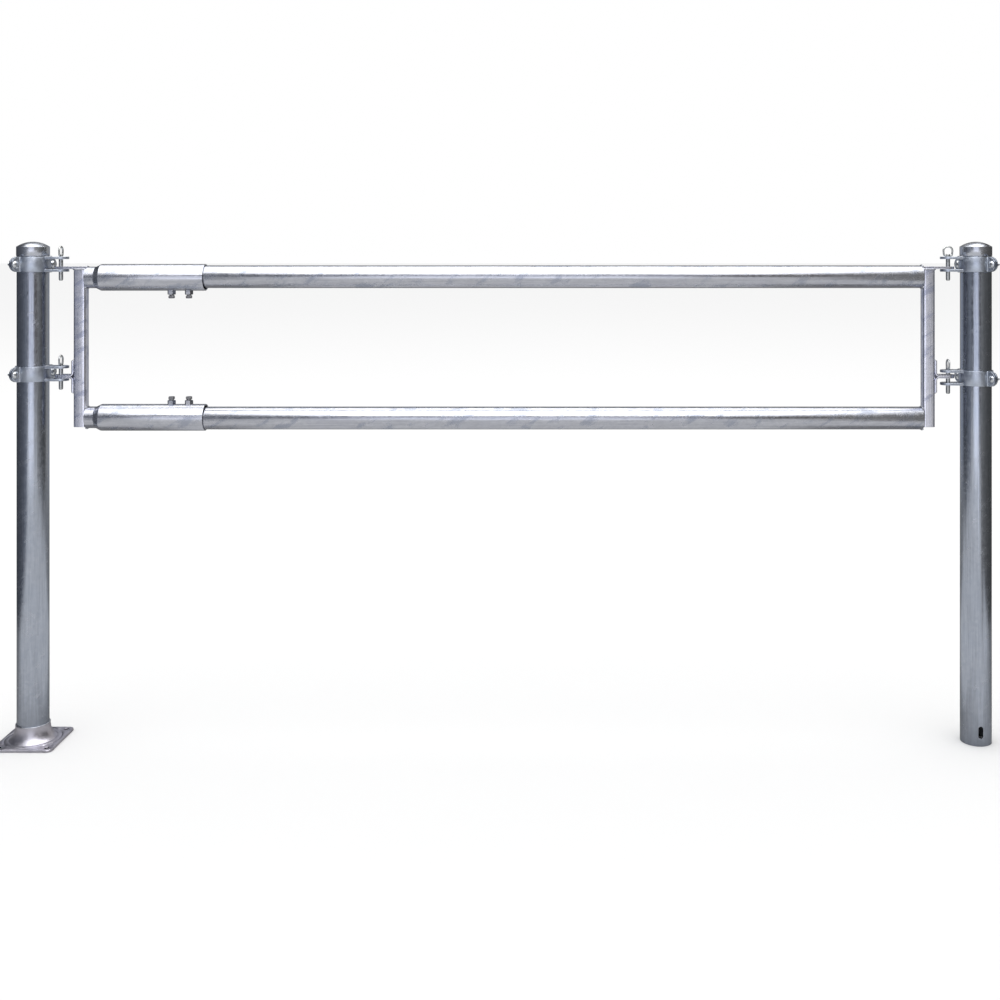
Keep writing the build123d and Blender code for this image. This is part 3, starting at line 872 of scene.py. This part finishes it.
def makeBolt():
    # Carriage bolt: its bearing face is on Z = 0, its dome points up and its shank down.
    s = boltSizes
    sphere = (s["head"]**2 + s["headHeight"]**2) / (2 * s["headHeight"])
    profile = [(0.0, s["headHeight"])]
    for step in range(1, 10):
        r = (s["head"] - 0.0006) * step / 9
        profile.append((r, s["headHeight"] - sphere + math.sqrt(sphere**2 - r * r)))
    core = s["diameter"] / 2 - s["threadDepth"]
    profile += [(s["head"], 0.0009), (s["head"] - 0.0004, 0.0), (s["diameter"] / 2, 0.0),
        (s["diameter"] / 2, -s["smooth"]), (core, -0.0128), (core, -s["length"] + 0.0012),
        (core - 0.0012, -s["length"]), (0.0, -s["length"])]
    made = lathe("boltTemplate", profile, 40)
    moved(made, 0, 0, s["length"])
    grown(made, threadTree, finishes["bolt_zinc"], Diameter=s["diameter"], Pitch=s["pitch"],
        Length=s["length"] - s["runOut"])
    moved(made, 0, 0, -s["length"])
    return made


def fastenerPoints(side, offset):
    # Where each ear's fastener sits, and the way it points.
    s = clampSizes
    points, ways = [], []
    turn = Matrix.Rotation(math.radians(s["hingeTurn"]), 4, "Z")
    for (on, level), z in clampHeights.items():
        if on != side:
            continue
        for end in (-1, 1):
            point = turn @ Vector((end * s["boltAt"], offset, 0)) + Vector((0, 0, z))
            way = turn @ Vector((0, math.copysign(1.0, offset), 0))
            if side == "right":
                point.x, way.x = rightPostX - point.x, -way.x
            points.append(point)
            ways.append(way)
    return points, ways


def fasten(name, side, slotName, template, offset, nodes):
    points, ways = fastenerPoints(side, offset)
    mesh = bpy.data.meshes.new(name)
    mesh.from_pydata([tuple(point) for point in points], [], [])
    axis = mesh.attributes.new("axis", "FLOAT_VECTOR", "POINT")
    for place, way in enumerate(ways):
        axis.data[place].vector = way
    made = grown(makeObject(name, mesh), fastenerTree, finishes[slotName], Fastener=template,
        SpinSeed=3 if side == "left" else 8)
    return finishPiece(made, name, side + "_post_set", slotName, nodes, sharp=40)


boltTemplate = makeBolt()
nutTemplate = hexNut("nutTemplate", boltSizes["flats"], boltSizes["nutHeight"],
    boltSizes["diameter"])
earFace = clampSizes["gap"] / 2 + clampSizes["thickness"]
for side in sides:
    fasten(side + "_carriage_bolts", side, "bolt_zinc", boltTemplate, earFace,
        [side + "_clamp_bolts"])
    fasten(side + "_hexagon_nuts", side, "bolt_zinc", nutTemplate, -earFace, [side + "_clamp_nuts"])
bpy.data.objects.remove(boltTemplate)
bpy.data.objects.remove(nutTemplate)
print("clamp bolts and nuts made")

# Hinge pins and their wire loops.
pinSizes = {"radius": 0.007, "below": 0.080, "above": 0.009, "nose": 0.004, "wire": 0.006,
    "foot": 0.026, "width": 0.034, "height": 0.030, "corner": 0.0045, "crown": 0.0138,
    "lift": 0.0003}


def makePin(side, level):
    s = pinSizes
    name = f"{side}_{level}_pin"
    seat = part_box(name)[1].z - s["above"]
    x = clampSizes["pinAt"]
    corners = [(0, -s["below"]), (s["radius"] - s["nose"] / 2, -s["below"]),
        (s["radius"], -s["below"] + s["nose"]), (s["radius"], s["above"]), (0, s["above"])]
    profile = filleted(corners, [0, 0.0012, 0.0015, 0.0018, 0], 4, closed=False)
    made = lathe(name, profile, 48)
    moved(made, x, 0, seat)
    onSide(made, side)
    finishPiece(made, name + "_bar", name, "pin_zinc", [name], sharp=40)

    bar = seat + s["wire"] / 2 + s["lift"]
    foot, width = s["foot"] / 2, s["width"] / 2
    loopLow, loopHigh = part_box(name + "_loop")
    wide = loopHigh.x - loopLow.x > loopHigh.y - loopLow.y
    facing = Vector((1, 0, 0)) if wide else Vector((0, 1, 0))
    line = [(-foot, 0), (foot, 0), (width, s["height"]), (-width, s["height"])]
    path = lineObject(name, [Vector((x, 0, bar)) + facing * u + Vector((0, 0, v)) for u, v in line],
        closed=True)
    bend = path.data.attributes.new("bend", "FLOAT", "POINT")
    bend.data.foreach_set("value", [s["corner"], s["corner"], s["crown"], s["crown"]])
    ring = grown(path, wireTree, finishes["pin_zinc"], Wire=s["wire"])
    onSide(ring, side)
    finishPiece(ring, name + "_wire", name, "pin_zinc", [name + "_loop"], sharp=50)


for side in sides:
    for level in levels:
        makePin(side, level)
print("pins made")

# Uprights and hinge lugs.
frameSizes = {"size": 0.040, "wall": 0.004, "corner": 0.008, "lugHalf": 0.020, "upperLug": 0.008,
    "lowerLug": 0.006, "leg": 0.053, "bend": 0.006, "edge": 0.0008}


def squareTube(name, low, high):
    s = frameSizes
    outside = box2(s["size"], s["size"], s["corner"], 8)
    inside = box2(s["size"] - 2 * s["wall"], s["size"] - 2 * s["wall"], s["corner"] - s["wall"], 8)
    rings = []
    lip = 0.0006
    for out, inn in zip(outside, inside):
        way = Vector((out.x - inn.x, out.y - inn.y)).normalized() * lip
        rings.append([(out.x - way.x, out.y - way.y, low), (out.x, out.y, low + lip),
            (out.x, out.y, high - lip), (out.x - way.x, out.y - way.y, high),
            (inn.x + way.x, inn.y + way.y, high), (inn.x, inn.y, high - lip),
            (inn.x, inn.y, low + lip), (inn.x + way.x, inn.y + way.y, low)])
    return skin(name, rings, acrossClosed=True)


def eyeHalves(line, eye, half):
    # A bar's half width near its round eye end.
    return [math.sqrt(max(1e-7, half**2 - max(0.0, eye - point.x)**2)) for point, normal in line]


def roundEye(eye):
    # From a lug's tip to the middle of its pin hole.
    return [eye - frameSizes["lugHalf"] * math.sin(math.radians(d)) for d in (84, 74, 62, 48, 32,
        16, 0)]


def lugPath(upward):
    s = frameSizes
    t = s["lowerLug"]
    eye, face = clampSizes["pinAt"], uprightLow.x
    radius = s["bend"] + t / 2
    line = [(Vector((x, 0, t / 2)), Vector((0, 0, 1))) for x in roundEye(eye) + [eye + 0.012,
        face - radius - t / 2 - 0.004]]
    centre = Vector((face - t / 2 - radius, 0, t / 2 + radius))
    for step in range(9):
        angle = -math.pi / 2 + math.pi / 2 * step / 8
        way = Vector((math.cos(angle), 0, math.sin(angle)))
        line.append((centre + way * radius, -way))
    line += [(Vector((face - t / 2, 0, z)), Vector((-1, 0, 0))) for z in (0.030, s["leg"] - 0.006,
        s["leg"])]
    if not upward:
        line = [(Vector((p.x, 0, -p.z)), Vector((n.x, 0, -n.z))) for p, n in line]
    return line


def makeLugs(side):
    s = frameSizes
    body = side + "_frame"
    eye = clampSizes["pinAt"]
    low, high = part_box(side + "_upper_lug")
    middle = (low.z + high.z) / 2
    xs = roundEye(eye) + [eye + 0.02, uprightHigh.x - 0.004, uprightHigh.x]
    line = [(Vector((x, 0, middle)), Vector((0, 0, 1))) for x in xs]
    made = band("upperLug", line, eyeHalves(line, eye, s["lugHalf"]), s["upperLug"], s["edge"],
        Vector((0, 1, 0)))
    hole = peg("hole", clampSizes["pinHole"], middle - 0.02, middle + 0.02, 40)
    moved(hole, eye, 0, 0)
    cut(made, hole)
    onSide(made, side)
    finishPiece(made, side + "_upper_lug_bar", body, "frame_zinc", [side + "_upper_lug"], sharp=40)
    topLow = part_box(side + "_lower_lug_top_strip")[0]
    for word, upward in (("top", True), ("bottom", False)):
        line = lugPath(upward)
        halves = eyeHalves(line, eye, s["lugHalf"])
        made = band("strip", line, halves, s["lowerLug"], s["edge"], Vector((0, 1, 0)))
        hole = peg("hole", clampSizes["pinHole"], -0.02, 0.02, 40)
        moved(hole, eye, 0, 0)
        cut(made, hole)
        moved(made, 0, 0, topLow.z)
        onSide(made, side)
        finishPiece(made, f"{side}_{word}_bent_strip", body, "frame_zinc",
            [f"{side}_lower_lug_{word}_strip"], sharp=40)
    return topLow.z


lugMiddles = {}
for side in sides:
    made = squareTube(side + "Upright", uprightLow.z, uprightHigh.z)
    moved(made, uprightLow.x + frameSizes["size"] / 2, 0, 0)
    onSide(made, side)
    finishPiece(made, side + "_square_upright", side + "_frame", "frame_zinc", [side + "_upright"],
        sharp=38)
    lugMiddles[side] = makeLugs(side)
print("uprights and lugs made")

# Rails and sleeves.
railSizes = {"wall": 0.0032, "lip": 0.0008, "facets": 112}
sleeveSizes = {"wall": 0.004, "neck": 0.036, "neckLength": 0.032, "shoulder": 0.017,
    "holeRadius": 0.00808}

for level, z in railHeights.items():
    low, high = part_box(level + "_rail")
    made = grown(emptyMesh(level + "Rail"), tubeTree, finishes["rail_zinc"], Radius=railRadius,
        Wall=railSizes["wall"], Length=high.x - low.x, Lip=railSizes["lip"],
        Facets=railSizes["facets"])
    lieAlongX(made, (low.x + high.x) / 2, z)
    finishPiece(made, level + "_rail_tube", "right_frame", "rail_zinc", [level + "_rail"])

screwPlaces = {}
for level in levels:
    for number in (1, 2):
        low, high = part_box(f"{level}_set_screw_{number}")
        screwPlaces[level, number] = (low.x + high.x) / 2


def makeSleeve(level):
    s = sleeveSizes
    low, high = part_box(level + "_sleeve")
    outer = (high.y - low.y) / 2
    axis = (low.z + high.z) / 2
    wall = s["wall"]
    necked = s["neckLength"]
    full = necked + s["shoulder"]
    length = high.x - low.x
    outside = filleted([(s["neck"], 0), (s["neck"], necked), (outer, full), (outer, length)],
        [0, 0.008, 0.009, 0], 7, closed=False)
    inside = filleted([(outer - wall, length), (outer - wall, full), (s["neck"] - wall, necked),
        (s["neck"] - wall, 0)], [0, 0.007, 0.006, 0], 7, closed=False)
    mouth = [(outer, length - 0.0009), (outer - 0.0003, length - 0.0002), (outer - 0.0010, length),
        (outer - wall + 0.0007, length), (outer - wall, length - 0.0007)]
    profile = [tuple(p) for p in outside[:-1]] + mouth + [tuple(p) for p in inside[1:]]
    made = lathe(level + "Sleeve", profile, 112)
    lieAlongX(made, low.x, axis)
    up = level == "lower"
    for number in (1, 2):
        hole = peg("hole", s["holeRadius"], 0.02, 0.06)
        if not up:
            hole.data.transform(Matrix.Rotation(math.pi, 4, "X"))
        moved(hole, screwPlaces[level, number], 0, axis)
        cut(made, hole)
    finishPiece(made, level + "_sleeve_tube", "left_frame", "rail_zinc", [level + "_sleeve"],
        sharp=35)
    return axis, outer


nutSizes = {"flats": 0.024, "height": 0.013, "root": 0.0048, "bore": 0.01616}
screwSizes = {"diameter": 0.016, "pitch": 0.002, "head": 0.017, "headHeight": 0.0095,
    "headCorner": 0.0014, "threadDepth": 0.00085, "crownFrom": 0.97, "crownSlope": 0.45}


def makeSetScrew(level, number):
    s = screwSizes
    name = f"{level}_set_screw_{number}"
    low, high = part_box(name)
    length = high.z - low.z
    shank = length - s["headHeight"]
    core = s["diameter"] / 2 - s["threadDepth"]
    profile = [(0, 0), (core - 0.0018, 0), (core, 0.0018), (core, shank - 0.0008),
        (core + 0.0006, shank + 0.0005), (0, shank + 0.0005)]
    made = lathe(name, profile, 40)
    grown(made, threadTree, finishes["screw_zinc"], Diameter=s["diameter"], Pitch=s["pitch"],
        Length=shank - 0.0015)
    half, steps = s["head"] / 2, 64
    rings = []
    for step in range(steps):
        angle = 2 * math.pi * (step + 0.5) / steps
        reach = squareReach(angle, half, s["headCorner"])
        drop = max(0.0, reach - s["crownFrom"] * half) * s["crownSlope"]
        way = wayAt(angle)
        section = [(0, shank), (reach - 0.0005, shank), (reach, shank + 0.0005),
            (reach, length - drop - 0.0003), (reach - 0.0004, length - drop), (0.95 * half, length),
            (0, length)]
        rings.append([way * r + Vector((0, 0, z)) for r, z in section])
    head = skin(name + "Head", rings, acrossClosed=True)
    joined([made, head])
    up = level == "lower"
    turn = Matrix.Identity(4) if up else Matrix.Rotation(math.pi, 4, "X")
    made.data.transform(Matrix.Translation((screwPlaces[level, number], 0, low.z if up
        else high.z)) @ turn)
    return finishPiece(made, name + "_square_head", name, "screw_zinc", [name], sharp=40)


for level in levels:
    axis, outer = makeSleeve(level)
    up = level == "lower"
    nuts = []
    for number in (1, 2):
        nut = hexNut("sleeveNut", nutSizes["flats"], nutSizes["height"] + nutSizes["root"],
            nutSizes["bore"])
        moved(nut, 0, 0, outer - nutSizes["root"])
        if not up:
            nut.data.transform(Matrix.Rotation(math.pi, 4, "X"))
        moved(nut, screwPlaces[level, number], 0, axis)
        core = peg("sleeveCore", outer, -0.2, 0.2, 112)
        lieAlongX(core, screwPlaces[level, number], axis)
        cut(nut, core)
        nuts.append(nut)
        makeSetScrew(level, number)
    finishPiece(joined(nuts), level + "_welded_nuts", "left_frame", "rail_zinc",
        [level + "_sleeve_nuts"], sharp=40)
print("rails, sleeves and set screws made")

# Welds.
weldSizes = {"frame": 0.0026, "clamp": 0.0022, "collar": 0.0024, "pulse": 0.0034}


def arcAngles(first, last, steps):
    # A whole circle is closed by its own edge, so its end is left out.
    count = steps + (1 if last - first < 360 else 0)
    return [math.radians(first + (last - first) * step / steps) for step in range(count)]


def circleX(x, radius, z, first=0.0, last=360.0, steps=72):
    return [Vector((x, radius * math.cos(a), z + radius * math.sin(a)))
        for a in arcAngles(first, last, steps)]


def circleZ(radius, x, z, first=0.0, last=360.0, steps=96):
    return [Vector((x + radius * math.cos(a), radius * math.sin(a), z))
        for a in arcAngles(first, last, steps)]


def flipped(points, side):
    return [Vector((rightPostX - p.x, p.y, p.z)) for p in points] if side == "right" else points


for side in sides:
    face = uprightLow.x
    half = frameSizes["size"] / 2
    lines = []
    middle = lugMiddles[side]
    for way in (1, -1):
        out = 0.016
        leg = [Vector((face - 0.0008, y, middle + way * z)) for y, z in ((-out, 0.014),
            (-out, frameSizes["leg"] + 0.0006), (out, frameSizes["leg"] + 0.0006), (out, 0.014))]
        lines.append((flipped(leg, side), False))
    ring = [Vector((face + half + u, v, uprightHigh.z - 0.0006))
        for u, v in box2(frameSizes["size"] + 0.001, frameSizes["size"] + 0.001, 0.008, 6)]
    lines.append((flipped(ring, side), True))
    bead(side + "_lug_welds", lines, side + "_frame", "frame_zinc", weldSizes["frame"],
        weldSizes["pulse"], 2.0)
    lines = []
    for (on, level), z in clampHeights.items():
        if on != side:
            continue
        reach = clampSizes["height"] / 2
        for height in (z + reach + 0.0002, z - reach - 0.0002, z + reach
                - clampSizes["jawThickness"], z - reach + clampSizes["jawThickness"]):
            arc = circleZ(postRadius + clampSizes["thickness"] + 0.0004, 0, height, -25, 25, 20)
            lines.append((flipped(arc, side), False))
    bead(side + "_jaw_welds", lines, side + "_post_set", "clamp_zinc", weldSizes["clamp"],
        weldSizes["pulse"], 5.0)

lines = []
for level in levels:
    low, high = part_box(level + "_sleeve")
    for first in (62, 242):
        lines.append((circleX(uprightHigh.x + 0.0006, sleeveSizes["neck"] + 0.0002,
            (low.z + high.z) / 2, first, first + 56, 26), False))
bead("sleeve_neck_welds", lines, "left_frame", "rail_zinc", weldSizes["frame"], weldSizes["pulse"],
    9.0)
lines = []
for level, z in railHeights.items():
    for first in (60, 240):
        lines.append((circleX(rightUprightLow.x - 0.0006, railRadius + 0.0002, z, first, first + 60,
            26), False))
bead("rail_end_welds", lines, "right_frame", "rail_zinc", weldSizes["frame"], weldSizes["pulse"],
    12.0)
bead("collar_weld", [(circleZ(postRadius + 0.0012, 0, plateSizes["height"] + 0.0002), True)],
    "left_post_set", "base_zinc", weldSizes["collar"], weldSizes["pulse"], 15.0)
print("welds made")

# Floor, light and camera.
# The floor's reflection tones and its bright patches are painted reflection, seen only by glossy
# rays.
stageValues = {"floor": 0.86, "floorGloss": 0.72, "floorRough": 0.9, "size": 240.0, "gap": 0.0004,
    "sky": 0.45, "side": 0.14, "room": 1.24, "wallNear": 0.11, "wallFar": 0.34, "wallBack": 0.40,
    "wallTop": 3.2, "wallAside": 1.1, "wallFront": 3.4, "wallReach": 4.4, "glossFar": 0.30,
    "brightFront": (0.25, -0.5), "brightBehind": (1.6, 0.9), "brightAside": (1.5, 1.1)}


def makeFloor():
    half = stageValues["size"] / 2
    mesh = bpy.data.meshes.new("floor")
    mesh.from_pydata([(-half, -half, 0), (half, -half, 0), (half, half, 0), (-half, half, 0)], [],
        [(0, 1, 2, 3)])
    mesh.transform(Matrix.Translation((rightPostX / 2, 0, min(0.0, cadBox[0][2])
        - stageValues["gap"])))
    floor = makeObject("floor", mesh)
    made = bpy.data.materials.new("paleFloor")
    made.use_nodes = True
    shader = made.node_tree.nodes["Principled BSDF"]
    shader.inputs["Roughness"].default_value = stageValues["floorRough"]
    shader.inputs["Specular IOR Level"].default_value = 0.0
    tree = made.node_tree
    # Painted reflection: glossy rays see the floor brighter in front of and under the gate and
    # dimmer further off, which shapes the highlights on the tubes; the camera sees it evenly pale.
    place = node(tree, "SeparateXYZ", {0: placeOn(tree)})
    front = ramp(tree, place.outputs["Y"], *stageValues["brightFront"])
    under = ramp(tree, place.outputs["Y"], *stageValues["brightBehind"])
    for way in (-1, 1):
        ends = [rightPostX / 2 + way * reach for reach in stageValues["brightAside"]]
        under = sums(tree, "MULTIPLY", under, ramp(tree, place.outputs["X"], *ends))
    paintedReflectionTone = ramp(tree, sums(tree, "MAXIMUM", front, under), 0.0, 1.0, stageValues["glossFar"],
        stageValues["floorGloss"], smooth=False)
    paintedReflectionColour = node(tree, "CombineColor", {0: paintedReflectionTone, 1: paintedReflectionTone, 2: paintedReflectionTone})
    plainTone = (stageValues["floor"],) * 3 + (1,)
    tree.links.new(mixColour(tree, node(tree, "LightPath").outputs["Is Glossy Ray"], plainTone,
        paintedReflectionColour), shader.inputs["Base Color"])
    mesh.materials.append(made)


def makeWorld():
    # Bright overhead, dim at the sides, so that round tubes get a bright middle and dark edges.
    world = bpy.data.worlds.new("studio")
    bpy.context.scene.world = world
    world.use_nodes = True
    tree = world.node_tree
    tree.nodes.clear()
    way = node(tree, "SeparateXYZ", {0: node(tree, "TexCoord").outputs["Generated"]})
    up = ramp(tree, way.outputs["Z"], 0.30, 0.62)
    tint = mixColour(tree, ramp(tree, way.outputs["X"], -0.8, 0.8), (0.9, 0.95, 1.1, 1),
        (1.15, 1.0, 0.9, 1))
    dim = mixColour(tree, 1.0, tint, (stageValues["side"],) * 3 + (1,), "MULTIPLY")
    full = mixColour(tree, up, dim, (stageValues["sky"],) * 3 + (1,))
    seen = mixColour(tree, node(tree, "LightPath").outputs["Is Camera Ray"], full,
        (1.0, 1.0, 1.0, 1))
    seen = mixColour(tree, node(tree, "LightPath").outputs["Is Diffuse Ray"], seen,
        (stageValues["room"],) * 3 + (1,))
    light = node(tree, "Background", {"Color": seen, "Strength": 1.0})
    node(tree, "OutputWorld", {"Surface": light})


softboxes = {
    "overheadSoftbox": {"place": (1.575, -2.5, 5.0), "aim": (1.575, -2.5, 0), "width": 7.0,
        "height": 10.0, "radiance": 2.7, "colour": (1, 1, 1)},
    "frontSoftbox": {"place": (1.2, -6.7, 1.7), "aim": (1.2, 0, 1.7), "width": 4.6, "height": 3.4,
        "radiance": 1.05, "colour": (0.93, 0.96, 1.08)},
}


def softbox(name, place, aim, width, height, radiance, colour):
    data = bpy.data.lights.new(name, "AREA")
    data.shape, data.size, data.size_y, data.color = "RECTANGLE", width, height, colour
    data.energy = radiance * math.pi * width * height
    lamp = bpy.data.objects.new(name, data)
    bpy.context.scene.collection.objects.link(lamp)
    lamp.location = place
    lamp.rotation_euler = (Vector(aim) - Vector(place)).to_track_quat("-Z", "Y").to_euler()
    lamp.visible_camera = lamp.visible_diffuse = False


cameraSizes = {"x": 1.780, "distance": 4.140, "height": 1.650, "lens": 44.6, "shiftX": -0.0658,
    "shiftY": -0.2532}


def makeCamera():
    s = cameraSizes
    data = bpy.data.cameras.new("camera")
    data.lens, data.sensor_width = s["lens"], 36.0
    data.shift_x, data.shift_y = s["shiftX"], s["shiftY"]
    data.clip_end = 600.0
    camera = bpy.data.objects.new("camera", data)
    bpy.context.scene.collection.objects.link(camera)
    camera.location = (s["x"], -s["distance"], s["height"])
    camera.rotation_euler = (math.pi / 2, 0, 0)
    bpy.context.scene.camera = camera


def makeDarkWalls():
    # Dim boards round the gate that only reflections see: they keep the edges of round tubes dark.
    high, right = stageValues["wallTop"], rightPostX
    back = stageValues["wallReach"]  # further back than the gate swings
    aside, front = stageValues["wallAside"], -stageValues["wallFront"]
    corners = [(-aside, front), (-aside, back), (right + aside, back), (right + aside, front)]
    points = [(x, y, z) for x, y in corners for z in (0.0, high)]
    mesh = bpy.data.meshes.new("darkWalls")
    mesh.from_pydata(points, [], [(2 * spot, 2 * spot + 2, 2 * spot + 3, 2 * spot + 1)
        for spot in range(3)])
    walls = makeObject("darkWalls", mesh)
    made = bpy.data.materials.new("dimBoard")
    made.use_nodes = True
    tree = made.node_tree
    tree.nodes.clear()
    place = node(tree, "SeparateXYZ", {0: placeOn(tree)})
    tone = ramp(tree, place.outputs["Y"], 0.4, -3.2, stageValues["wallNear"],
        stageValues["wallFar"])
    tone = sums(tree, "ADD", tone, ramp(tree, place.outputs["Y"], 1.2, stageValues["wallReach"],
        0.0, stageValues["wallBack"]))
    tint = mixColour(tree, ramp(tree, place.outputs["X"], 0.5, 2.6), (0.92, 0.98, 1.12, 1),
        (1.0, 0.98, 0.94, 1))
    glow = node(tree, "Emission", {"Color": tint, "Strength": tone})
    node(tree, "OutputMaterial", {"Surface": glow})
    mesh.materials.append(made)
    walls.visible_camera = walls.visible_diffuse = walls.visible_shadow = False


makeFloor()
makeWorld()
makeDarkWalls()
for name, values in softboxes.items():
    softbox(name, **values)
makeCamera()
bpy.context.scene.view_settings.view_transform = "Standard"
print("stage made")
